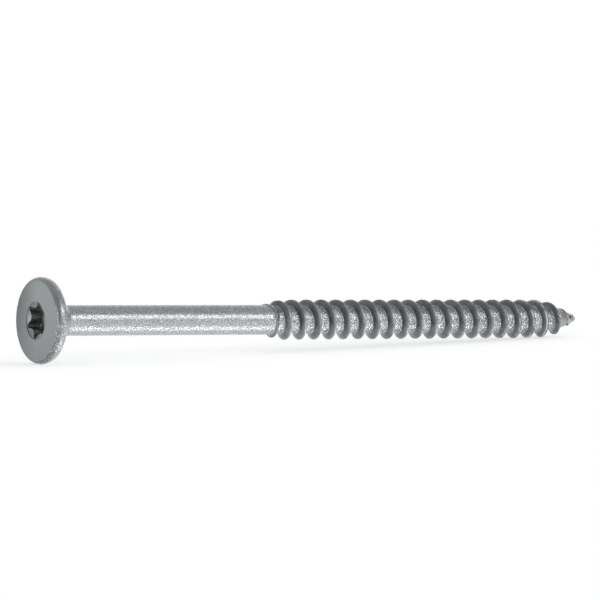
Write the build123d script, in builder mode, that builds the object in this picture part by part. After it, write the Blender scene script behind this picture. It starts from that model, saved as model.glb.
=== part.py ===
from build123d import *
import math
import os

# Driving dimensions, in mm

# head
head_diameter = 15.7
head_height = 2.5
face_crown = 0.12
rim_height = 1.1
neck_diameter = 9.0
neck_length = 3.3

# width of the rounded edge round the face, and round the bearing face below
face_edge = 0.6
bearing_edge = 0.75

# shank and thread
length = 120.0
shank_diameter = 5.58
core_diameter = 5.14
thread_diameter = 7.6
pitch = 3.362
full_turns = 17
crest_land = 0.28
flank_angle = 30.0

# run-in at the shank
run_in_turns = 2
run_in_pitch = 2.78
shank_step = 2.4
step_length = 0.5

# point
point_length = 11.9
tip_radius = 0.38

# six-lobe drive
drive_outer = 6.75
drive_inner = 4.85
lobe_radius = 0.55
drive_depth = 2.9
drive_floor = 1.0
drive_mouth = 6.88
mouth_step = 0.2
mouth_depth = 0.5
drive_turn = 9.6

# overlaps, which join what is one piece of steel and clear the mouth of a cut
root_overlap = 0.2
cut_overlap = 0.5

# points that each turn of a thread edge is drawn through
points_a_turn = 12

# Sizes that follow from the ones above
head_r = head_diameter / 2
face_r = head_r - face_edge
bearing_r = head_r - bearing_edge
neck_r = neck_diameter / 2
shank_r = shank_diameter / 2
core_r = core_diameter / 2
thread_r = thread_diameter / 2
drive_outer_r = drive_outer / 2
drive_inner_r = drive_inner / 2
mouth_r = drive_mouth / 2
total_length = head_height + length
point_start = total_length - point_length
thread_start = point_start - full_turns * pitch
run_in_start = thread_start - run_in_turns * run_in_pitch
step_start = run_in_start + shank_step
slope = math.tan(math.radians(flank_angle))
half_land = crest_land / 2

# The screw is drawn upright first. Its axis is Z, the crown of its face is at 0, its tip
# is at total_length, and X is the side that it will lie on.

# The core tapers in three cones: share of the point's length, share of the core's radius
core_taper = [(0.25, 1.0), (0.64, 0.76), (0.86, 0.46)]
taper_points = [(core_r * share, point_start + along * point_length) for along, share in core_taper]
tip_start = (tip_radius, total_length - 0.5 * tip_radius)

# The tip is part of a ball of 1.25 tip radii, centred on the axis
tip_ball = 1.25 * tip_radius
tip_half = math.asin(tip_radius / tip_ball) / 2
tip_middle = (tip_ball * math.sin(tip_half), total_length - tip_ball * (1 - math.cos(tip_half)))

# The seam of the turned profile is kept clear of the ends of the thread
seam = math.radians(112.5)
profile = Plane(
    origin=(0, 0, 0),
    x_dir=(math.cos(seam), math.sin(seam), 0),
    z_dir=(math.sin(seam), -math.cos(seam), 0),
)

# A conical neck under the head carries the walls of the drive into the shank
neck_top = (neck_r, head_height)
neck_end = (shank_r, head_height + neck_length)

# Head, shank, core and point are one turned profile
with BuildPart() as upright:
    with BuildSketch(profile):
        with BuildLine():
            ThreePointArc((0, 0), (face_r / 2, face_crown / 4), (face_r, face_crown))
            EllipticalCenterArc((face_r, rim_height), face_edge, rim_height - face_crown, -90)
            EllipticalCenterArc((bearing_r, rim_height), bearing_edge, head_height - rim_height, 0)
            Polyline((bearing_r, head_height), neck_top, neck_end, (shank_r, step_start))
            Line((shank_r, step_start), (core_r, step_start + step_length))
            Line((core_r, step_start + step_length), taper_points[0])
            Polyline(*taper_points, tip_start)
            ThreePointArc(tip_start, tip_middle, (0, total_length))
            Line((0, total_length), (0, 0))
        make_face()
    revolve(axis=Axis.Z)

# The full turns of the thread are one section carried along a helix
full_base = core_r - root_overlap
full_half = half_land + (thread_r - full_base) * slope
with BuildPart() as full_thread:
    with BuildLine() as crest_helix:
        Helix(pitch, full_turns * pitch, thread_r, center=(0, 0, thread_start))
    with BuildSketch(Plane.XZ):
        with BuildLine():
            Polyline(
                (full_base, thread_start - full_half),
                (thread_r, thread_start - half_land),
                (thread_r, thread_start + half_land),
                (full_base, thread_start + full_half),
                close=True,
            )
        make_face()
    sweep(path=crest_helix.line, is_frenet=True)

# The thread rises out of the shank over the run-in, and falls over the point to a low
# ridge on the cone: turns, distance along the screw, share of the full height
run_in = [
    (-1.0, -1.0, 0.05),
    (-0.75, -0.74, 0.24),
    (-0.5, -0.5, 0.58),
    (-0.25, -0.26, 0.85),
    (0.0, 0.0, 1.0),
]
run_out = [
    (0.0, 0.0, 1.0),
    (0.5, 0.14, 0.985),
    (1.0, 0.28, 0.88),
    (1.5, 0.417, 0.82),
    (2.0, 0.56, 0.83),
    (2.25, 0.63, 0.55),
    (2.5, 0.695, 0.24),
    (3.0, 0.835, 0.15),
    (3.5, 0.92, 0.15),
    (3.75, 0.95, 0.05),
]
run_in_rows = [
    (turns * run_in_turns, thread_start + along * run_in_turns * run_in_pitch, share)
    for turns, along, share in run_in
]
run_in_rows.append((1.0, thread_start + pitch, 1.0))
run_out_rows = [(-1.0, point_start - pitch, 1.0)]
run_out_rows += [(turns, point_start + along * point_length, share) for turns, along, share in run_out]


def smooth(rows, turn, column):
    """The value of a table at a turn, on a curve that keeps the rows and doesn't overshoot."""
    steps = []
    for left, right in zip(rows[:-1], rows[1:]):
        steps.append((right[column] - left[column]) / (right[0] - left[0]))
    slopes = [steps[0]]
    for before, after in zip(steps[:-1], steps[1:]):
        slopes.append(0.0 if before * after <= 0 else 2 * before * after / (before + after))
    slopes.append(steps[-1])
    index = 0
    while index < len(rows) - 2 and turn > rows[index + 1][0]:
        index += 1
    left, right = rows[index], rows[index + 1]
    width = right[0] - left[0]
    part = (turn - left[0]) / width
    return (
        (2 * part**3 - 3 * part**2 + 1) * left[column]
        + (part**3 - 2 * part**2 + part) * width * slopes[index]
        + (3 * part**2 - 2 * part**3) * right[column]
        + (part**3 - part**2) * width * slopes[index + 1]
    )


def core_radius(height):
    """The radius of the core at a height on the screw."""
    rows = [(core_r, point_start)] + taper_points + [tip_start]
    for (near_r, near), (far_r, far) in zip(rows[:-1], rows[1:]):
        if height <= far:
            return near_r + (far_r - near_r) * max(height - near, 0) / (far - near)
    return tip_radius


def thread_stretch(rows, first_turn, last_turn, ground_r):
    """A stretch of thread whose height changes: four edges run along it, with a face between each two."""
    count = round((last_turn - first_turn) * points_a_turn)
    edge_points = [[], [], [], []]
    for step in range(count + 1):
        turn = first_turn + (last_turn - first_turn) * step / count
        height = smooth(rows, turn, 1)
        core = core_radius(height)
        rise = smooth(rows, turn, 2) * (thread_r - ground_r)
        crest = core + (ground_r - core_r) + rise
        base = core - root_overlap
        half_base = half_land + (crest - base) * slope
        section = [(base, -half_base), (crest, -half_land), (crest, half_land), (base, half_base)]
        angle = 2 * math.pi * turn
        for points, (radius, offset) in zip(edge_points, section):
            points.append((radius * math.cos(angle), radius * math.sin(angle), height + offset))
    edges = []
    for points in edge_points:
        with BuildLine() as edge_line:
            Spline(*points)
        edges.append(edge_line.line.edge())
    faces = []
    for index in range(4):
        faces.append(Face.make_surface_from_curves(edges[index], edges[(index + 1) % 4]))
    for end in (0, -1):
        faces.append(Face(Wire.make_polygon([points[end] for points in edge_points])))
    return Solid(Shell(faces))


run_in_thread = thread_stretch(run_in_rows, 0.1 - run_in_turns, 0, shank_r)
point_thread = thread_stretch(run_out_rows, 0, 2, core_r)
tip_thread = thread_stretch(run_out_rows, 2, 3.75, core_r)

with upright:
    add(run_in_thread)
    add(full_thread.part)
    add(point_thread)
    add(tip_thread)

# Six-lobe drive: six round lobes, each joined to the next by a bump that it meets smoothly
lobe_center = drive_outer_r - lobe_radius
reach = drive_inner_r - lobe_radius
bump_center = (lobe_center**2 - reach**2) / (math.sqrt(3) * lobe_center - 2 * reach)
bump_radius = bump_center - drive_inner_r


def around(radius, degrees):
    """A point of the drive's plane, from its radius and its angle."""
    return (radius * math.cos(math.radians(degrees)), radius * math.sin(math.radians(degrees)))


def meeting(lobe_angle, side):
    """The point where a lobe meets the bump on one side of it."""
    lobe = around(lobe_center, lobe_angle)
    bump = around(bump_center, lobe_angle + 30 * side)
    share = lobe_radius / (lobe_radius + bump_radius)
    return (lobe[0] + (bump[0] - lobe[0]) * share, lobe[1] + (bump[1] - lobe[1]) * share)


with upright:
    with BuildSketch(Plane.XY.offset(-cut_overlap)):
        with BuildLine():
            for index in range(6):
                lobe = 60 * index + drive_turn
                ThreePointArc(meeting(lobe, -1), around(drive_outer_r, lobe), meeting(lobe, 1))
                ThreePointArc(meeting(lobe, 1), around(drive_inner_r, lobe + 30), meeting(lobe + 60, -1))
        make_face()
    extrude(amount=cut_overlap + drive_depth, mode=Mode.SUBTRACT)
    with BuildSketch(profile):
        with BuildLine():
            # the mouth is a low step, and a shallow cone from there down to the bumps
            Polyline(
                (0, -cut_overlap),
                (mouth_r, -cut_overlap),
                (mouth_r, mouth_step),
                (drive_inner_r, mouth_depth),
                (0, mouth_depth),
                close=True,
            )
        make_face()
    revolve(axis=Axis.Z, mode=Mode.SUBTRACT)
    with BuildSketch(profile):
        with BuildLine():
            # the floor ends in a cone
            Polyline(
                (0, drive_depth - cut_overlap),
                (drive_inner_r - 0.2, drive_depth - cut_overlap),
                (drive_inner_r - 0.2, drive_depth),
                (0, drive_depth + drive_floor),
                close=True,
            )
        make_face()
    revolve(axis=Axis.Z, mode=Mode.SUBTRACT)

# The screw lies on the rim of its head and on the crest of the last full turn of its thread
lie = math.atan2(head_r - thread_r, point_start - rim_height)
lying = Plane(
    origin=(0, 0, 0),
    x_dir=(-math.sin(lie), 0, -math.cos(lie)),
    z_dir=(math.cos(lie), 0, -math.sin(lie)),
)
laid = lying.from_local_coords(upright.part)
box = laid.bounding_box()
crown = (-(box.min.X + box.max.X) / 2, 0, -box.min.Z)
with BuildPart() as screw:
    with Locations(crown):
        add(laid)
screw.part.label = "screw"

os.makedirs("parts", exist_ok=True)
export_step(screw.part, "parts/screw.step")
print("volume", round(screw.part.volume, 1), "valid", screw.part.is_valid, "solids", len(screw.part.solids()))
print("lies at", round(math.degrees(lie), 4), "degrees, crown at", [round(value, 4) for value in crown])
print("box", screw.part.bounding_box())
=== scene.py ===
# Construction screw on a pale floor: wide head with a six-lobe drive, plain shank, wood thread and point.
import math

import bpy
import numpy as np
from mathutils import Matrix, Vector


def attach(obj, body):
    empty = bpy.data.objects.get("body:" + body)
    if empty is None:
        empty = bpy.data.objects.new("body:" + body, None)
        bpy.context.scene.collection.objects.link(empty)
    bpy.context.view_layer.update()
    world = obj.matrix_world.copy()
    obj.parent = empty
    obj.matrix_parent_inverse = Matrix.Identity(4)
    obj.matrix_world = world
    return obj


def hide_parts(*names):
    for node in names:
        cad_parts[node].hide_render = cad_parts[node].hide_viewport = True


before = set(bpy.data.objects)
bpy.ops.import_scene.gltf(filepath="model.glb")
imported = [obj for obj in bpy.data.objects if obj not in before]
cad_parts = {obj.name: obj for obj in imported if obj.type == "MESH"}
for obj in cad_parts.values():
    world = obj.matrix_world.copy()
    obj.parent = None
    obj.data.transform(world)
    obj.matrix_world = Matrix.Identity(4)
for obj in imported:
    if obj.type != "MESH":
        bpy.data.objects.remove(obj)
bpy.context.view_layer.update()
print("frame loaded")

# The screw's own sizes, in mm. They are those of the solid, so the skin fits it.
screwSizes = {
    "headRadius": 7.85,
    "headHeight": 2.5,
    "faceEdge": 0.6,        # width of the rounded edge round the face
    "bearingEdge": 0.75,    # and round the bearing face
    "faceCrown": 0.12,
    "rimHeight": 1.1,
    "neckRadius": 4.5,
    "neckLength": 3.3,
    "length": 120.0,        # under the head
    "shankRadius": 2.79,
    "coreRadius": 2.57,
    "threadRadius": 3.8,
    "pitch": 3.362,
    "fullTurns": 17,
    "halfLand": 0.14,
    "flankAngle": 30.0,
    "runInTurns": 2,
    "runInPitch": 2.78,
    "shankStep": 2.4,
    "stepLength": 0.5,
    "pointLength": 11.9,
    "tipRadius": 0.38,
    "tipBall": 1.25,        # radius of the ball that ends the tip, in tip radii
    "driveOuter": 3.375,
    "driveInner": 2.425,
    "lobeRadius": 0.55,
    "driveDepth": 2.9,
    "driveFloor": 1.0,
    "floorInset": 0.2,      # from the bumps of the drive in to the edge of its cone floor
    "mouthRadius": 3.44,
    "mouthStep": 0.2,
    "mouthDepth": 0.5,
    "driveTurn": 9.6,
    # the three cones of the point: share of the point's length, share of the core's radius
    "coreTaper": ((0.25, 1.0), (0.64, 0.76), (0.86, 0.46)),
}

# The course of the thread. Turns count from the start of the full turns, and on the point from their end.
threadRows = {
    # on the run-in: its turns and its length, both in run-ins
    "runIn": ((-2.0, -2.0), (-1.5, -1.5), (-1.0, -1.0), (-0.75, -0.74), (-0.5, -0.5), (-0.25, -0.26)),
    # on the point: turns, share of the point's length
    "runOut": (
        (0.5, 0.14), (1.0, 0.28), (1.5, 0.417), (2.0, 0.56), (2.25, 0.63),
        (2.5, 0.695), (3.0, 0.835), (3.5, 0.92), (4.0, 0.96), (5.0, 0.985),
    ),
    # turns, share of the full height over the shank
    "rise": (
        (-4.0, -0.5), (-2.3, -0.3), (-2.0, 0.05), (-1.5, 0.24),
        (-1.0, 0.58), (-0.5, 0.85), (0.0, 1.0), (1.0, 1.0),
    ),
    # turns on the point, share of the full height over the core
    "fall": (
        (-1.0, 1.0), (0.0, 1.0), (0.5, 0.985), (1.0, 0.88), (1.5, 0.82), (2.0, 0.83), (2.25, 0.55),
        (2.5, 0.24), (3.0, 0.15), (3.5, 0.15), (3.75, 0.05), (4.0, -0.1), (6.0, -0.3),
    ),
}

# How finely the skin is drawn, how worn it is, and where its finishes lie. Lengths are in mm.
skinDetail = {
    "columns": 108,         # round the axis
    "firstTurn": -3.0,      # the strip starts and ends on the side that the screw lies on
    "lastTurns": 4,         # how far it runs on past the full turns
    "landRows": (0.45, 0.8),
    "flankRows": (0.0, 0.05, 0.12, 0.3, 0.55, 0.8, 0.92, 1.0),
    "rootRows": (0.1, 0.3, 0.62, 1.0),
    "leastRise": 0.3,       # the flank's rows stay this wide where the thread is low
    "flankReach": 0.9,      # and take up to this share of the way to the next turn
    "headEnd": 4.7,         # the head's last ring is this far before the first ridge
    "edgeRound": 0.045,     # rounding of the thread's crest corners
    "rootRound": 0.05,      # rounding where the thread meets the core
    "crestWear": 0.035,     # how deep the nicks in the crests are
    "nickSize": 1.3,
    "nickWidth": 0.2,       # from the middle of the crest to where they fade
    "nickGain": 1.6,        # how steeply they sink
    "nickGap": 0.75,        # the higher, the fewer there are
    "nickThread": 0.15,     # the least height of a thread that has any
    "tipWear": 0.10,        # how deep the point is worn
    "tipWaves": 0.9,        # and the size of its lumps
    "tipRough": 3.4,        # how far before the tip it starts to be rough
    "tipFade": 0.9,
    "lumpRadius": 1.5,      # its lumps are lower where the radius is smaller than this
    "leastLump": 0.25,      # but keep this share
    "tipAngles": (50, 38, 26, 14),      # of the rings on its ball, in degrees off the axis
    "tipEdge": (0.03, 0.26),            # the tip's first ring: how far outside its radius, and before its end
    "tipLumps": 0.15,       # share of the radius that the lumps take there
    "seed": 7,
    # where each finish of the thread lies
    "shankGrain": 0.5,      # how much of the grain the plain shank shows
    "flankGrain": 0.65,     # how much of it the flanks lose
    "coneGrain": 0.7,       # and the smooth cone
    "grainGrowth": 3.0,     # the thread shows all of it from this far past the first ridge
    # the flanks' tone is painted shade, darkest at the root
    "flankFrom": 0.05,      # height over the core where the flank's tone starts
    "flankGrowth": 0.12,
    "fullFlank": 0.6,       # the tone is fainter where the crest stands lower than this
    "leastFlank": 0.3,      # but keeps this share
    "wornFrom": 0.85,       # share of the thread's height where the worn crest starts
    "wornGrowth": 0.1,
    "lastCrest": 1.45,      # turns on the point from which the crest is plain again
    "lastFade": 0.3,        # how many turns it takes to fade
    "lastWear": 0.2,        # and how much of the wear is left
    "lipTurns": 4.0,        # the seam and lips of the crest start this many turns before the point
    "lipGrowth": 4.5,       # and grow over so many turns
    "lipHeight": 0.5,       # share of the thread's height above which they lie
    "lipOffset": 0.19,      # from the middle of the crest
    "lipWidth": 0.05,
    "seamWidth": 0.09,
    "smoothCone": 5.2,      # how far before the tip the cone turns smooth
    "coneFade": 0.8,
    # the cone takes a share of the flanks' painted shade
    "coneTone": 0.3,        # how much of the flanks' tone it has
    # and each one of the head: distances are from the crown
    "faceInside": 2.0,      # the face lies outside this radius
    "faceEnd": 0.7,
    # the face's tone is painted light and shade
    "faceFade": 0.03,       # how sharply its tone ends at the rim
    # the rim's tone is painted shade
    "rimFade": 0.02,        # and how sharply the rim's starts
    "rimEnd": 0.8,          # where the dark of the rim starts to fade
    "rimLength": 0.7,
    "rimGrain": 0.6,        # how much of the grain the head shows, but for its face
    "rimGrowth": 0.3,       # width in which that grows outside the face
    "grainTop": 1.2,        # past this all of the outside shows it
    "leastGrain": 0.05,     # the face and the drive keep this much
    "neckMargin": 0.5,      # the shank's share of it starts this far under the head
    # the deep of the drive is painted darker, as shade
    "deepFrom": 0.6,        # where the deep of the drive starts
    "deepGrowth": 0.8,
}

# The finishes that the skin carries, each as a value from 0 to 1 at every point
finishNames = ("worn", "flank", "grain", "height", "lip", "seam", "plain", "rim", "mouth", "deep", "rough")

faceRadius = screwSizes["headRadius"] - screwSizes["faceEdge"]
bearingRadius = screwSizes["headRadius"] - screwSizes["bearingEdge"]
totalLength = screwSizes["headHeight"] + screwSizes["length"]
pointStart = totalLength - screwSizes["pointLength"]
threadStart = pointStart - screwSizes["fullTurns"] * screwSizes["pitch"]
runInStart = threadStart - screwSizes["runInTurns"] * screwSizes["runInPitch"]
threadHeight = screwSizes["threadRadius"] - screwSizes["coreRadius"]
stripTurns = screwSizes["fullTurns"] + skinDetail["lastTurns"] - skinDetail["firstTurn"]
stripCells = round(stripTurns * skinDetail["columns"])

# The screw lies on the rim of its head and on the crest of its last full turn
restDrop = screwSizes["headRadius"] - screwSizes["threadRadius"]
lieAngle = math.atan2(restDrop, pointStart - screwSizes["rimHeight"])
axisDir = np.array([math.cos(lieAngle), 0.0, -math.sin(lieAngle)])      # from the head to the tip
downDir = np.array([-math.sin(lieAngle), 0.0, -math.cos(lieAngle)])     # the side that it lies on
farDir = np.array([0.0, 1.0, 0.0])
crownPoint = np.array([-61.1342, 0.0, 7.8922])                          # the middle of the face, mm


# A curve through a table's rows. Its slope at a row is the harmonic mean of the slopes of the two steps
# beside it, or nothing where they disagree, so it keeps every row and never overshoots.
def smoothTable(rows, place):
    x, y = np.asarray(rows, float).T
    steps = np.diff(y) / np.diff(x)
    product = steps[:-1] * steps[1:]
    total = np.where(product > 0, steps[:-1] + steps[1:], 1.0)
    slopes = np.concatenate([[steps[0]], np.where(product > 0, 2 * product / total, 0.0), [steps[-1]]])
    place = np.clip(place, x[0], x[-1])
    i = np.clip(np.searchsorted(x, place, side="right") - 1, 0, len(x) - 2)
    width = x[i + 1] - x[i]
    t = (place - x[i]) / width
    rise = (3 * t**2 - 2 * t**3) * (y[i + 1] - y[i])
    return y[i] + rise + width * ((t**3 - 2 * t**2 + t) * slopes[i] + (t**3 - t**2) * slopes[i + 1])


# A straight climb from 0 to 1 that starts at a place and takes a length, and is level before and after.
def ramp(value, start, length):
    return np.clip((value - start) / length, 0, 1)


# The value where it is above nothing, and nothing below, with a soft corner: half of the sum of the value
# and the root of its square plus the corner's square.
def softAbove(value, corner):
    return 0.5 * (value + np.sqrt(value**2 + corner**2))


# An even roughness between 0 and 1: sine waves of about one size run along seeded directions and are added
# up, and a hyperbolic tangent keeps the sum between the two ends.
def roughness(points, size, seed):
    waveCount = 18                              # each runs at 0.6 to 1.5 times the pace that the size asks
    rng = np.random.default_rng(seed)
    ways = rng.normal(size=(waveCount, 3))
    pace = rng.uniform(0.6, 1.5, (waveCount, 1)) / np.linalg.norm(ways, axis=1, keepdims=True)
    ways *= (2 * math.pi / size) * pace
    waves = np.sin(points @ ways.T + rng.uniform(0, 2 * math.pi, waveCount)).sum(axis=-1)
    return 0.5 + 0.5 * np.tanh(0.8 * waves / math.sqrt(waveCount / 2))


# The radius under the thread at a distance s from the crown: straight lines through shank, step, core and
# the three cones of the point.
def groundRadius(s):
    z = screwSizes
    step = runInStart + z["shankStep"]
    rows = [(0, z["shankRadius"]), (step, z["shankRadius"]), (step + z["stepLength"], z["coreRadius"])]
    for along, share in z["coreTaper"]:
        rows.append((pointStart + along * z["pointLength"], z["coreRadius"] * share))
    rows.append((totalLength - 0.5 * z["tipRadius"], z["tipRadius"]))
    places, radii = zip(*rows)
    return np.interp(s, places, radii)


# Where the crest is at a turn: even steps over the full turns, closer ones at the shank and the point.
def crestPlace(turn):
    z = screwSizes
    runIn = z["runInTurns"] * z["runInPitch"]
    rows = [(t * z["runInTurns"], threadStart + along * runIn) for t, along in threadRows["runIn"]]
    rows += [(k, threadStart + k * z["pitch"]) for k in range(z["fullTurns"] + 1)]
    rows += [(z["fullTurns"] + t, pointStart + along * z["pointLength"]) for t, along in threadRows["runOut"]]
    return smoothTable(rows, turn)


# How high the crest stands: a share of the full height, over the shank on the run-in and over the core after.
def crestRadius(turn, s):
    z = screwSizes
    early = z["shankRadius"] + smoothTable(threadRows["rise"], turn) * (z["threadRadius"] - z["shankRadius"])
    late = groundRadius(np.maximum(s, threadStart))
    late = late + smoothTable(threadRows["fall"], turn - z["fullTurns"]) * threadHeight
    return np.where(turn < 0, early, late)


# A point of the screw: its radius at an angle round the axis, a distance from the crown. Angle 0 is the
# side that the screw lies on, and angles grow by the right hand about the axis.
def placeOnScrew(radius, angle, s):
    around = np.cos(angle)[..., None] * downDir + np.sin(angle)[..., None] * farDir
    return crownPoint + radius[..., None] * around + s[..., None] * axisDir


# The drive's outline as a radius for each angle: the far side of a lobe's circle near a lobe, and the
# near side of a bump's circle between two lobes. The two circles touch where they meet.
def driveRadius(angle):
    z = screwSizes
    sixth, twelfth = math.pi / 3, math.pi / 6
    lobeCenter = z["driveOuter"] - z["lobeRadius"]
    reach = z["driveInner"] - z["lobeRadius"]
    bumpCenter = (lobeCenter**2 - reach**2) / (math.sqrt(3) * lobeCenter - 2 * reach)
    bumpRadius = bumpCenter - z["driveInner"]
    fromLobe = np.abs(np.mod(angle - math.radians(z["driveTurn"]) + twelfth, sixth) - twelfth)
    fromBump = twelfth - fromLobe
    lobeDepth = np.maximum(z["lobeRadius"] ** 2 - (lobeCenter * np.sin(fromLobe)) ** 2, 0)
    bumpDepth = np.maximum(bumpRadius**2 - (bumpCenter * np.sin(fromBump)) ** 2, 0)
    lobe = lobeCenter * np.cos(fromLobe) + np.sqrt(lobeDepth)
    bump = bumpCenter * np.cos(fromBump) - np.sqrt(bumpDepth)
    share = z["lobeRadius"] / (z["lobeRadius"] + bumpRadius)
    meetX = lobeCenter + (bumpCenter * math.cos(twelfth) - lobeCenter) * share
    meetY = bumpCenter * math.sin(twelfth) * share
    return np.where(fromLobe < math.atan2(meetY, meetX), lobe, bump)


# The rings of the drive, from the middle of its cone floor out and up its wall, and those of its mouth,
# which run out over the shallow cone. Each is a radius and a distance from the crown for every angle.
def driveRings(angle):
    z = screwSizes
    one = np.ones_like(angle)
    lobes = driveRadius(angle)
    floorRadius = z["driveInner"] - z["floorInset"]
    fall = (z["mouthDepth"] - z["mouthStep"]) / (z["mouthRadius"] - z["driveInner"])
    # the wall ends a little below the mouth, which starts a little outside the wall: a soft edge
    wallGap, mouthGap = 0.05, 0.02
    wallTop = z["mouthDepth"] - (lobes - z["driveInner"]) * fall + wallGap
    drive = []
    for k in (0.12, 0.4, 0.7, 0.97, 1.0):
        drive.append((floorRadius * k * one, (z["driveDepth"] + z["driveFloor"] * (1 - k)) * one))
    for k in (0.1, 0.5, 0.96):
        drive.append((floorRadius + (lobes - floorRadius) * k, z["driveDepth"] * one))
    for k in (0.01, 0.1, 0.3, 0.5, 0.7, 0.88, 0.97, 1.0):
        drive.append((lobes, z["driveDepth"] + (wallTop - z["driveDepth"]) * k))
    mouth = []
    for k in (0.03, 0.08, 0.3, 0.6, 0.9, 0.99):
        radius = lobes + mouthGap + (z["mouthRadius"] - lobes - mouthGap) * k
        mouth.append((radius, z["mouthDepth"] - (radius - z["driveInner"]) * fall))
    return drive, mouth


# The outside of the head as a list of radii and distances: up the low step of the mouth, over the crowned
# face, round two quarter ellipses at the rim, in under the head, and down the neck's cone to the shank.
# Rings lie close together beside an edge, which keeps it crisp.
def outerProfile():
    z = screwSizes
    cornerGap = 0.02                            # rings stay this far off the corner at the mouth
    mouthEdge = z["faceCrown"] * (z["mouthRadius"] / faceRadius) ** 2 + cornerGap
    quarter = np.linspace(0, math.pi / 2, 12)[1:]
    flat = list(np.linspace(z["mouthRadius"] + 0.5, faceRadius - 0.25, 7))
    face = [z["mouthRadius"] + cornerGap, z["mouthRadius"] + 0.1] + flat + [faceRadius - 0.06, faceRadius]
    stepRise = mouthEdge - z["mouthStep"]
    profile = [(z["mouthRadius"], z["mouthStep"] + stepRise * k) for k in (0.08, 0.5, 1.0)]
    profile += [(radius, z["faceCrown"] * (radius / faceRadius) ** 2) for radius in face]
    for a in quarter:
        drop = (z["rimHeight"] - z["faceCrown"]) * math.cos(a)
        profile.append((faceRadius + z["faceEdge"] * math.sin(a), z["rimHeight"] - drop))
    for a in quarter:
        rise = (z["headHeight"] - z["rimHeight"]) * math.sin(a)
        profile.append((bearingRadius + z["bearingEdge"] * math.cos(a), z["rimHeight"] + rise))
    for radius in (bearingRadius - 0.1, bearingRadius - 1.2, z["neckRadius"] + 0.1, z["neckRadius"] + 0.01):
        profile.append((radius, z["headHeight"]))
    for k in (0.02, 0.3, 0.7, 0.97, 1.0):
        radius = z["neckRadius"] + (z["shankRadius"] - z["neckRadius"]) * k
        profile.append((radius, z["headHeight"] + z["neckLength"] * k))
    neckEnd = z["headHeight"] + z["neckLength"]
    lastRing = runInStart - skinDetail["headEnd"]
    profile += [(z["shankRadius"], s) for s in np.linspace(neckEnd + 0.15, lastRing, 9)]
    return profile


# All rings of the head, each with its zone: 0 in the drive, 1 on its mouth and 2 outside.
def headRings(angle):
    one = np.ones_like(angle)
    drive, mouth = driveRings(angle)
    outside = [(radius * one, s * one) for radius, s in outerProfile()]
    radii, places = zip(*(drive + mouth + outside))
    zone = np.repeat([0, 1, 2], [len(drive), len(mouth), len(outside)])
    return np.array(radii), np.array(places), zone[:, None] * one


# The rings of the tip: its edge, and circles down the ball that ends it, all drawn in by the point's lumps.
def tipRings(angle):
    z, d = screwSizes, skinDetail
    ball = z["tipBall"] * z["tipRadius"]
    rings = [(z["tipRadius"] + d["tipEdge"][0], totalLength - d["tipEdge"][1])]
    for a in np.radians(d["tipAngles"]):
        rings.append((ball * math.sin(a), totalLength - ball + ball * math.cos(a)))
    radius, s = (np.array(row)[:, None] * np.ones_like(angle) for row in zip(*rings))
    around = angle * np.ones_like(s)
    lumps = roughness(placeOnScrew(radius, around, s), d["tipWaves"], d["seed"] + 1)
    radius = radius * (1 - d["tipLumps"] * lumps)
    return placeOnScrew(radius, around, s)


# The thread as a strip that winds round the axis: its far edge on one turn is its near edge on the next,
# so its rows follow the crest. Across the strip the radius falls from the crest along straight flanks to
# the core, with soft corners at the crest and at the root.
def threadStrip():
    z, d = screwSizes, skinDetail
    slope = math.tan(math.radians(z["flankAngle"]))
    half = z["halfLand"]
    turns = d["firstTurn"] + np.arange(stripCells + 1) / d["columns"]
    crest = crestPlace(turns)
    top = crestRadius(turns, crest)
    rise = np.maximum(top - np.minimum(groundRadius(crest), z["coreRadius"]), d["leastRise"])
    foot = half + rise * slope

    # across the strip, on one side of the crest: land, flank, root
    def sideRows(valley):
        reach = np.minimum(foot, valley * d["flankReach"])[:, None]
        land = half * np.array(d["landRows"]) * np.ones_like(reach)
        flank = half + (reach - half) * np.array(d["flankRows"])
        root = reach + (valley[:, None] - reach) * np.array(d["rootRows"])
        return np.concatenate([land, flank, root], axis=1)

    behind = sideRows((crest - crestPlace(turns - 1)) / 2)
    ahead = sideRows((crestPlace(turns + 1) - crest) / 2)
    offset = np.concatenate([-behind[:, ::-1], np.zeros((len(turns), 1)), ahead], axis=1)
    s = crest[:, None] + offset
    angle = 2 * math.pi * turns[:, None] * np.ones_like(s)
    ground = groundRadius(s)
    over = top[:, None] - softAbove(np.abs(offset) - half, d["edgeRound"]) / slope - ground
    # the soft corner lifts the steel at the root by half of its size, and that is taken off again
    radius = ground + softAbove(over, d["rootRound"]) - 0.5 * d["rootRound"] * np.exp(-4 * np.abs(over))

    # wear: shallow nicks along the crests, and a rough point, always into the steel
    place = placeOnScrew(radius, angle, s)
    nearCrest = np.exp(-((np.abs(offset) / d["nickWidth"]) ** 2)) * (over > d["nickThread"])
    nearTip = ramp(s, totalLength - d["tipRough"], d["tipFade"])
    nicks = np.clip(roughness(place, d["nickSize"], d["seed"]) * d["nickGain"] - d["nickGap"], 0, 1)
    lumps = roughness(place, d["tipWaves"], d["seed"] + 1)
    lumps = lumps * np.clip(radius / d["lumpRadius"], d["leastLump"], 1)
    radius = radius - d["crestWear"] * nicks * nearCrest - d["tipWear"] * nearTip * lumps
    shape = {"turns": turns, "offset": offset, "s": s, "over": over, "nearTip": nearTip}
    shape["stands"] = top[:, None] - ground     # how far the crest stands over the steel below
    return placeOnScrew(radius, angle, s), shape
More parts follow.
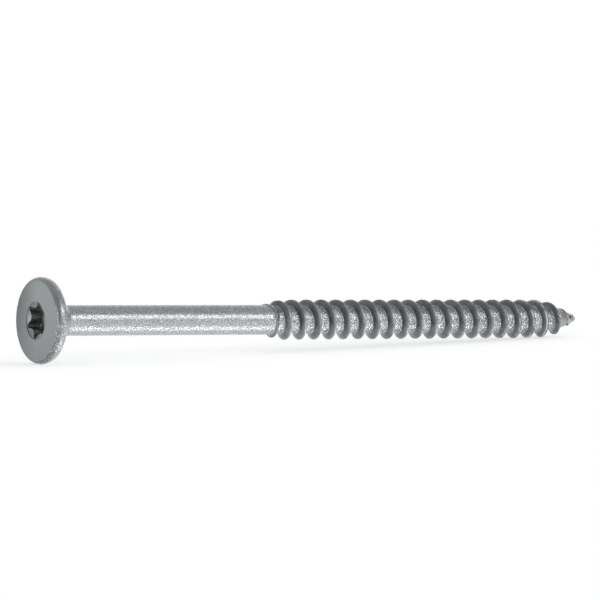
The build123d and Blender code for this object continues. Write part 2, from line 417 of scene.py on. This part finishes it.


# What the finish asks of the thread, from 0 to 1: worn crests, smooth flanks that carry painted shade, grain
# elsewhere, the seam and the lips of the last turns, for painted shade and painted highlights, as bell curves
# across the crest, and the rough point.
def threadFinish(shape):
    z, d = screwSizes, skinDetail
    s, over, offset = shape["s"], shape["over"], shape["offset"]
    share = np.clip(over / threadHeight, 0, 1)
    stands = np.clip(shape["stands"] / d["fullFlank"], d["leastFlank"], 1)
    flank = ramp(over, d["flankFrom"], d["flankGrowth"]) * stands
    cone = ramp(s, totalLength - d["smoothCone"], d["coneFade"])
    flank = np.maximum(flank, d["coneTone"] * cone)
    fadeStart = z["fullTurns"] + d["lastCrest"] - d["lastFade"]
    beforeLast = 1 - ramp(shape["turns"], fadeStart, d["lastFade"])[:, None]
    worn = ramp(share, d["wornFrom"], d["wornGrowth"]) * (d["lastWear"] + (1 - d["lastWear"]) * beforeLast)
    lateTurns = ramp(s, pointStart - d["lipTurns"] * z["pitch"], d["lipGrowth"] * z["pitch"])
    lateTurns = lateTurns * (share > d["lipHeight"]) * beforeLast
    grain = d["shankGrain"] + (1 - d["shankGrain"]) * ramp(s, runInStart, d["grainGrowth"])
    return {
        "worn": worn,
        "flank": flank,
        "grain": grain * (1 - d["flankGrain"] * flank) * (1 - d["coneGrain"] * cone),
        "height": share**2,
        "lip": lateTurns * np.exp(-(((np.abs(offset) - d["lipOffset"]) / d["lipWidth"]) ** 2)),
        "seam": lateTurns * np.exp(-((offset / d["seamWidth"]) ** 2)),
        "rough": shape["nearTip"],
    }


# What the finish asks of the head, from 0 to 1: grain on the rim, under the head and on the shank, the plain
# face with its painted light and shade, the rim's painted shade, the mouth of the drive with its painted
# light and shade, and the deep of it, painted darker as shade.
def headFinish(radius, s, zone):
    d = skinDetail
    outside = zone == 2
    onFace = (s < d["faceEnd"]) * (radius > d["faceInside"])
    grain = d["rimGrain"] * np.where(s < d["grainTop"], ramp(radius, faceRadius, d["rimGrowth"]), outside)
    onShank = s > screwSizes["headHeight"] + d["neckMargin"]
    return {
        "grain": np.clip(grain, d["leastGrain"], np.where(onShank, d["shankGrain"], 1.0)),
        "plain": (1 - ramp(radius, faceRadius, d["faceFade"])) * onFace,
        "rim": ramp(radius, faceRadius, d["rimFade"]) * (1 - ramp(s, d["rimEnd"], d["rimLength"])),
        "mouth": 1.0 * (zone == 1),
        "deep": ramp(s, d["deepFrom"], d["deepGrowth"]) * (1 - outside),
    }


# The four-sided faces between two rows of points, round the axis or along it
def facesBetween(low, high):
    return np.stack([low[:-1], low[1:], high[1:], high[:-1]], axis=-1).reshape(-1, 4)


# One closed skin: the rings of the head, the strip of the thread, the rings of the tip, and a pole at
# each end. A fan of triangles closes the step that the strip's first turn, and its last, leaves at a ring.
def screwSkin():
    z, n = screwSizes, skinDetail["columns"]
    ringAngle = 2 * math.pi * (skinDetail["firstTurn"] + np.arange(n) / n)
    strip, shape = threadStrip()
    headRadius, headS, zone = headRings(ringAngle)
    head = placeOnScrew(headRadius, ringAngle * np.ones_like(headRadius), headS)
    tip = tipRings(ringAngle)
    poles = placeOnScrew(np.zeros(2), np.zeros(2), np.array([z["driveDepth"] + z["driveFloor"], totalLength]))

    # the last row of the strip is kept only where no later turn begins there
    rows = strip.shape[1] - 1
    endTurn = slice(stripCells - n + 1, None)
    points = [strip[:, :rows].reshape(-1, 3), strip[endTurn, rows]]
    points += [head.reshape(-1, 3), tip.reshape(-1, 3), poles]
    count = (stripCells + 1) * rows
    grid = np.arange(count).reshape(stripCells + 1, rows)
    farEdge = np.concatenate([grid[n:, 0], count + np.arange(n)])
    grid = np.concatenate([grid, farEdge[:, None]], axis=1)
    headGrid = count + n + np.arange(headS.size).reshape(headS.shape)
    tipGrid = headGrid[-1, -1] + 1 + np.arange(tip[..., 0].size).reshape(tip.shape[:2])
    floorPole, tipPole = tipGrid[-1, -1] + 1, tipGrid[-1, -1] + 2

    faces = [facesBetween(grid[:, j], grid[:, j + 1]) for j in range(rows)]
    for rings in (headGrid, tipGrid):
        closed = np.concatenate([rings, rings[:, :1]], axis=1)
        faces += [facesBetween(low, high) for low, high in zip(closed[:-1], closed[1:])]
    faces.append(facesBetween(headGrid[-1], grid[:n, 0]))
    lastRing = np.arange(stripCells - n + 1, stripCells + 1)
    faces.append(facesBetween(grid[lastRing, rows], tipGrid[0, lastRing % n]))

    startFan = np.concatenate([[headGrid[-1, -1], headGrid[-1, 0]], grid[0]])
    endFan = np.concatenate([[tipGrid[0, lastRing[0] % n], tipGrid[0, lastRing[-1] % n]], grid[-1, ::-1]])
    startCorner, endCorner = grid[n - 1, 0], grid[lastRing[0], rows]
    triangles = [
        np.stack([np.full(len(startFan) - 1, startCorner), startFan[:-1], startFan[1:]], axis=-1),
        np.stack([np.full(len(endFan) - 1, endCorner), endFan[:-1], endFan[1:]], axis=-1),
        np.stack([np.full(n, floorPole), np.roll(headGrid[0], -1), headGrid[0]], axis=-1),
        np.stack([tipGrid[-1], np.roll(tipGrid[-1], -1), np.full(n, tipPole)], axis=-1),
    ]

    # each finish in the order of the points; what a part of the screw doesn't have is 0 there
    onThread = threadFinish(shape)
    onHead = headFinish(headRadius, headS, zone)
    onTip = {"grain": 1.0, "rough": 1.0}
    values = {}
    for key in finishNames:
        stripValue = onThread.get(key, np.zeros_like(shape["s"]))
        headValue = onHead.get(key, np.zeros_like(headS))
        tipValue = np.full(tipGrid.size, onTip.get(key, 0.0))
        ends = [headValue[0, 0], onTip.get(key, 0.0)]
        value = [stripValue[:, :rows].ravel(), stripValue[endTurn, rows], headValue.ravel(), tipValue, ends]
        values[key] = np.concatenate(value)
    return np.concatenate(points), np.concatenate(faces), np.concatenate(triangles), values


# A mesh object from whole arrays of points in mm and of four-sided and three-sided faces. Each finish is an
# attribute with a value for each point.
def makePiece(name, points, faces, triangles, values):
    mesh = bpy.data.meshes.new(name)
    mesh.vertices.add(len(points))
    mesh.vertices.foreach_set("co", (points / 1000).astype(np.float32).ravel())
    corners = np.concatenate([faces.ravel(), triangles.ravel()]).astype(np.int32)
    starts = np.concatenate([np.arange(len(faces)) * 4, len(faces) * 4 + np.arange(len(triangles)) * 3])
    mesh.loops.add(len(corners))
    mesh.loops.foreach_set("vertex_index", corners)
    mesh.polygons.add(len(starts))
    mesh.polygons.foreach_set("loop_start", starts.astype(np.int32))
    mesh.polygons.foreach_set("use_smooth", np.ones(len(starts), bool))
    mesh.update(calc_edges=True)
    for key, value in values.items():
        mesh.attributes.new(key, "FLOAT", "POINT").data.foreach_set("value", value.astype(np.float32))
    state = "valid" if not mesh.validate() else "was mended"
    print(name, state, len(points), "points", len(faces) * 2 + len(triangles), "triangles")
    piece = bpy.data.objects.new(name, mesh)
    bpy.context.scene.collection.objects.link(piece)
    return piece


# Put a node and set its sockets: a value goes into a socket, and another node's output is joined to it
def addNode(tree, kind, values=None, **settings):
    node = tree.nodes.new(kind)
    for key, value in settings.items():
        setattr(node, key, value)
    for key, value in (values or {}).items():
        if isinstance(value, bpy.types.NodeSocket):
            tree.links.new(value, node.inputs[key])
        else:
            node.inputs[key].default_value = value
    return node


# One step of arithmetic on two or three values
def addMath(tree, operation, *values):
    return addNode(tree, "ShaderNodeMath", dict(enumerate(values)), operation=operation).outputs[0]


# A colour on the way from the first to the second, by a share from 0 to 1
def mixColor(tree, share, first, second):
    def solid(color):                           # a plain colour needs its fourth number
        return color if isinstance(color, bpy.types.NodeSocket) else (*color, 1.0)

    sockets = {0: share, 6: solid(first), 7: solid(second)}
    return addNode(tree, "ShaderNodeMix", sockets, data_type="RGBA").outputs[2]


# A material without nodes, to be filled
def emptyMaterial(name):
    material = bpy.data.materials.new(name)
    material.use_nodes = True
    material.node_tree.nodes.clear()
    return material


# The zinc coating, with painted light and shade laid over it on the face, the mouth, the rim, the flanks, the
# deep of the drive and the seam and lips of the last crests. A user would change its colours and its grain
# here. Pairs are where a tone starts and
# where it is full: heights over the floor and places across are in metres, clouds and specks in the noise's
# own value.
zincLook = {
    "dull": (0.30, 0.314, 0.318),
    "bright": (0.88, 0.897, 0.90),
    # painted light and shade on the face: lighter higher up, darker on the side that lies away
    "faceShadeLow": (0.275, 0.291, 0.295),
    "faceLitHigh": (0.385, 0.406, 0.411),
    "faceHeights": (0.0028, 0.0136),
    "faceShadeFar": (0.178, 0.191, 0.195),  # on the side that lies away
    "faceAcross": (0.0, 0.0065),
    # painted light and shade on the lead-in of the drive: lighter low down, darker higher up
    "mouthLitLow": (0.335, 0.35, 0.355),   # the lead-in of the drive
    "mouthShadeHigh": (0.20, 0.21, 0.213),
    "mouthHeights": (0.0082, 0.0102),
    # painted shade on the rim: darkest low down, lighter towards the top
    "rimShadeLow": (0.165, 0.174, 0.177),
    "rimShadeHigh": (0.36, 0.376, 0.381),
    "rimHeights": (0.0015, 0.013),
    # painted glints on the rim, only away from its top
    "rimGlintColor": (0.60, 0.615, 0.62),
    "rimGlintSpecks": (0.53, 0.68),
    "rimGlintHeights": (0.0125, 0.0105),
    # painted shade on the flanks, lighter towards the crest
    "flankShadeColor": (0.14, 0.151, 0.155),
    "flankShadeTop": (0.23, 0.243, 0.247),
    "flankClouds": (0.35, 0.75),
    "flankLight": 0.1,      # how much of the bright tone they bring
    "wornColor": (0.46, 0.475, 0.48),
    "wornClouds": (0.35, 0.65),
    # painted shade in the seam and painted highlights on its lips
    "seamShade": (0.10, 0.105, 0.11),    # the seam along the crest of the last turns, and its lips
    "lipHighlight": (0.85, 0.86, 0.865),
    "lipClouds": (0.4, 0.55),
    # painted shade in the deep of the drive
    "deepShade": (0.31, 0.32, 0.32),
    "tipDark": (0.09, 0.095, 0.10),
    "tipBright": (0.50, 0.515, 0.52),
    "tipSpots": (0.42, 0.56),
    "specks": (0.45, 0.65),
    "speckBase": 0.25,      # where there is no grain, the tone between dull and bright
    "cloudSize": 1.6,       # mm, as the next four
    "tipSpotSize": 0.55,
    "grainSize": 0.27,
    "fineSize": 0.15,
    "grainDepth": 0.05,
    "grainTurn": (0.6, 0.9, 0.5),       # radians
    "roughLow": 0.19,       # on the bright specks
    "roughHigh": 0.33,
}


# Bright, smooth specks on a dull, rougher ground, by noise of the grain's size. Over that lie the rim's
# painted shade and painted glints, the face's and the mouth's painted light and shade, the flanks' painted
# shade, the worn crest, painted shade in the deep of the drive, painted highlights on the lips, painted shade
# in the seam, and the tip.
def zincMaterial():
    look = zincLook
    material = emptyMaterial("zinc")
    tree = material.node_tree
    where = addNode(tree, "ShaderNodeTexCoord").outputs["Object"]
    marks = {}
    for name in finishNames:
        marks[name] = addNode(tree, "ShaderNodeAttribute", attribute_name=name).outputs["Fac"]
    parted = addNode(tree, "ShaderNodeSeparateXYZ", {0: where})
    across, up = parted.outputs["Y"], parted.outputs["Z"]
    # the grain is turned on the screw, so that no row of it runs along the shank
    turned = addNode(tree, "ShaderNodeMapping", {"Vector": where, "Rotation": look["grainTurn"]}).outputs[0]

    def noise(size, detail):                    # noise whose waves have a size in mm
        sockets = {"Vector": turned, "Scale": 1000 / size, "Detail": detail}
        return addNode(tree, "ShaderNodeTexNoise", sockets).outputs["Fac"]

    def spread(value, ends, toLow=0.0, toHigh=1.0):     # a climb from one number to another between two ends
        low, high = ends
        sockets = {"Value": value, "From Min": low, "From Max": high, "To Min": toLow, "To Max": toHigh}
        return addNode(tree, "ShaderNodeMapRange", sockets).outputs[0]

    def both(first, second):                    # where two shares meet: their product
        return addMath(tree, "MULTIPLY", first, second)

    def cover(share, over):                     # lay a tone over what is there
        return mixColor(tree, share, base, over)

    clouds, coarse = noise(look["cloudSize"], 3.0), noise(look["grainSize"], 2.0)
    fine = noise(look["fineSize"], 1.0)
    speck = spread(coarse, look["specks"], -look["speckBase"], 1 - look["speckBase"])
    speck = addMath(tree, "MULTIPLY_ADD", speck, marks["grain"], look["speckBase"])
    base = mixColor(tree, speck, look["dull"], look["bright"])

    # painted shade on the rim, lighter with height
    rimShading = mixColor(tree, spread(up, look["rimHeights"]), look["rimShadeLow"], look["rimShadeHigh"])
    # painted glints, only on the rim's lower part
    rimGlints = both(spread(coarse, look["rimGlintSpecks"]), spread(up, look["rimGlintHeights"]))
    base = cover(marks["rim"], mixColor(tree, rimGlints, rimShading, look["rimGlintColor"]))
    # painted light and shade on the face: lighter with height, darker across towards the far side
    faceShading = mixColor(tree, spread(up, look["faceHeights"]), look["faceShadeLow"], look["faceLitHigh"])
    faceShading = mixColor(tree, spread(across, look["faceAcross"]), faceShading, look["faceShadeFar"])
    base = cover(marks["plain"], faceShading)
    # painted light and shade on the mouth: darker with height
    mouthShading = mixColor(tree, spread(up, look["mouthHeights"]), look["mouthLitLow"], look["mouthShadeHigh"])
    base = cover(marks["mouth"], mouthShading)

    # painted shade on the flanks, lighter towards the crest; the clouds on it are random
    flankShading = mixColor(tree, marks["height"], look["flankShadeColor"], look["flankShadeTop"])
    flankLight = spread(clouds, look["flankClouds"], 0.0, look["flankLight"])
    flankShading = mixColor(tree, flankLight, flankShading, look["bright"])
    base = cover(marks["flank"], flankShading)
    base = cover(both(marks["worn"], spread(clouds, look["wornClouds"])), look["wornColor"])
    # painted shade in the deep of the drive
    base = cover(marks["deep"], look["deepShade"])
    # painted highlights on the lips and painted shade in the seam
    base = cover(both(marks["lip"], spread(clouds, look["lipClouds"])), look["lipHighlight"])
    base = cover(marks["seam"], look["seamShade"])
    tipSpots = spread(noise(look["tipSpotSize"], 1.0), look["tipSpots"])
    base = cover(marks["rough"], mixColor(tree, tipSpots, look["tipDark"], look["tipBright"]))

    sheen = spread(speck, (0.0, 1.0), look["roughHigh"], look["roughLow"])
    relief = {"Height": addMath(tree, "ADD", coarse, fine), "Strength": marks["grain"]}
    bump = addNode(tree, "ShaderNodeBump", {**relief, "Distance": look["grainDepth"] / 1000}).outputs[0]
    metal = {"Base Color": base, "Metallic": 1.0, "Roughness": sheen, "Normal": bump}
    surface = addNode(tree, "ShaderNodeBsdfPrincipled", metal).outputs[0]
    addNode(tree, "ShaderNodeOutputMaterial", {"Surface": surface})
    return material


points, faces, triangles, values = screwSkin()
screwPiece = makePiece("screw_skin", points, faces, triangles, values)
screwPiece.data.materials.append(zincMaterial())
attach(screwPiece, "root")
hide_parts("screw")
print("screw made")

# The floor and the sheet behind it, in metres
sweepSizes = {
    "ahead": 2.2,           # how far the floor runs behind the screw before it curves up
    "curve": 0.5,
    "height": 2.0,
    "toCamera": 2.5,
    "halfWidth": 2.6,
    "floorReach": 30.0,     # half the side of the plain floor that lies under the sheet
    "floorDrop": 0.0005,    # how far it lies below
    "rows": 21,             # points across the sheet, and along each side of the floor
    "floorRows": 19,        # points along the sheet before its curve
    "curveRows": 24,        # and round it
    "color": (0.93, 0.93, 0.93),
    "glow": 0.50,           # added to what the camera and the metal see, so that the sheet is white
}

cameraView = {
    "lens": 216.0,
    "sensor": 36.0,
    "azimuth": 33.6648,     # the camera looks this far round from +Y towards +X
    "elevation": 3.8137,
    "place": (-0.37866, -0.56235, 0.05452),
    "near": 0.05,
    "far": 100.0,
}

studioLight = {
    "worldColor": (0.52, 0.525, 0.53),
    "cameraSide": (0.33, 0.335, 0.34),      # the dark of the studio round the camera's place
    "darkEnds": (0.1, 0.95),                # cosines off the way to it, where the dark starts and is full
    # each broad soft light: degrees round from +Y towards +X, above the floor and in width, then its strength
    "lights": {
        "key": (143.0, 22.0, 24.0, 0.34),
        "table": (124.0, -52.0, 24.0, 0.22),    # from below, through the sheet
        "fill": (236.0, 14.0, 34.0, 0.30),
        "side": (289.0, 1.5, 14.0, 0.11),
    },
}


# The way that two angles point to: round from +Y towards +X by a sine and a cosine, and up by a sine
def wayTo(azimuth, elevation):
    around, above = math.radians(azimuth), math.radians(elevation)
    return np.array([math.sin(around) * math.cos(above), math.cos(around) * math.cos(above), math.sin(above)])


# Matt white, with a glow that only the camera and the metal see
def sheetMaterial():
    material = emptyMaterial("white_sheet")
    tree = material.node_tree
    path = addNode(tree, "ShaderNodeLightPath").outputs
    seen = addMath(tree, "MAXIMUM", path["Is Camera Ray"], path["Is Glossy Ray"])
    seen = addMath(tree, "MAXIMUM", seen, path["Is Transmission Ray"])
    glow = addMath(tree, "MULTIPLY", seen, sweepSizes["glow"])
    matt = addNode(tree, "ShaderNodeBsdfDiffuse", {"Color": (*sweepSizes["color"], 1.0)})
    light = addNode(tree, "ShaderNodeEmission", {"Strength": glow})
    glowing = addNode(tree, "ShaderNodeAddShader", {0: matt.outputs[0], 1: light.outputs[0]})
    addNode(tree, "ShaderNodeOutputMaterial", {"Surface": glowing.outputs[0]})
    return material


# The sheet: a profile of a floor line, a quarter circle and a wall line, carried sideways as straight rows.
# The floor: a square of straight rows, a little lower.
def makeSweep():
    size = sweepSizes
    rightWay = wayTo(cameraView["azimuth"] + 90, 0)
    aheadWay = wayTo(cameraView["azimuth"], 0)
    turn = np.linspace(0, math.pi / 2, size["curveRows"])
    floorLine = np.linspace(-size["toCamera"], size["ahead"], size["floorRows"] + 1)[:-1]
    wallPlace = size["ahead"] + size["curve"]
    forward = np.concatenate([floorLine, size["ahead"] + size["curve"] * np.sin(turn), [wallPlace]])
    up = np.concatenate([0 * floorLine, size["curve"] * (1 - np.cos(turn)), [size["height"]]])
    side = np.linspace(-size["halfWidth"], size["halfWidth"], size["rows"])
    reach = np.linspace(-size["floorReach"], size["floorReach"], size["rows"])

    def straightRows(forward, side, up):        # every point of the profile, at every place across
        points = forward[:, None, None] * aheadWay + side[None, :, None] * rightWay
        points = points + up[:, None, None] * np.array([0, 0, 1.0])
        grid = np.arange(points[..., 0].size).reshape(points.shape[:2])
        faces = np.stack([grid[:-1, :-1], grid[:-1, 1:], grid[1:, 1:], grid[1:, :-1]], axis=-1)
        return points.reshape(-1, 3) * 1000, faces.reshape(-1, 4)

    material = sheetMaterial()
    shapes = {
        "floor_sheet": straightRows(forward, side, up),
        "wide_floor": straightRows(reach, reach, np.full(size["rows"], -size["floorDrop"])),
    }
    for name, (points, faces) in shapes.items():
        sheet = makePiece(name, points, faces, np.zeros((0, 3), int), {})
        sheet.data.materials.append(material)
        sheet.visible_shadow = False            # a lamp below shines through it, as through a light table


# The room is grey, and darker by the cosine off the way to the camera's place
def makeRoom():
    world = bpy.data.worlds.new("studio")
    world.use_nodes = True
    bpy.context.scene.world = world
    tree = world.node_tree
    tree.nodes.clear()
    skyWay = addNode(tree, "ShaderNodeTexCoord").outputs["Generated"]
    darkWay = tuple(Vector(cameraView["place"]).normalized())
    dotted = addNode(tree, "ShaderNodeVectorMath", {0: skyWay, 1: darkWay}, operation="DOT_PRODUCT")
    low, high = studioLight["darkEnds"]
    sockets = {"Value": dotted.outputs["Value"], "From Min": low, "From Max": high}
    nearness = addNode(tree, "ShaderNodeMapRange", sockets).outputs[0]
    roomTone = mixColor(tree, nearness, studioLight["worldColor"], studioLight["cameraSide"])
    room = addNode(tree, "ShaderNodeBackground", {"Color": roomTone, "Strength": 1.0})
    addNode(tree, "ShaderNodeOutputWorld", {"Surface": room.outputs[0]})


# The broad soft lights: key, fill and side stand round the screw, and one lies below the sheet. Each is
# turned to shine from the way that its two angles point to.
def makeLights():
    for name, (azimuth, elevation, width, strength) in studioLight["lights"].items():
        lampData = bpy.data.lights.new(name, "SUN")
        lampData.energy = strength
        lampData.angle = math.radians(width)
        lampData.cycles.use_multiple_importance_sampling = elevation > 0
        lamp = bpy.data.objects.new(name, lampData)
        lamp.rotation_euler = Vector(wayTo(azimuth, elevation)).to_track_quat("Z", "Y").to_euler()
        bpy.context.scene.collection.objects.link(lamp)


# The camera: its axes follow from the two angles, and it stands where the photograph was taken from
def makeCamera():
    lookWay = Vector(wayTo(cameraView["azimuth"], -cameraView["elevation"]))
    rightWay = Vector(wayTo(cameraView["azimuth"] + 90, 0))
    cameraData = bpy.data.cameras.new("camera")
    cameraData.lens = cameraView["lens"]
    cameraData.sensor_width = cameraView["sensor"]
    cameraData.clip_start = cameraView["near"]
    cameraData.clip_end = cameraView["far"]
    camera = bpy.data.objects.new("camera", cameraData)
    turned = Matrix((rightWay, rightWay.cross(lookWay), -lookWay)).transposed().to_4x4()
    turned.translation = Vector(cameraView["place"])
    camera.matrix_world = turned
    bpy.context.scene.collection.objects.link(camera)
    bpy.context.scene.camera = camera


makeSweep()
makeRoom()
makeLights()
print("floor and light made")

makeCamera()
bpy.context.scene.view_settings.view_transform = "Standard"

print("scene ready")
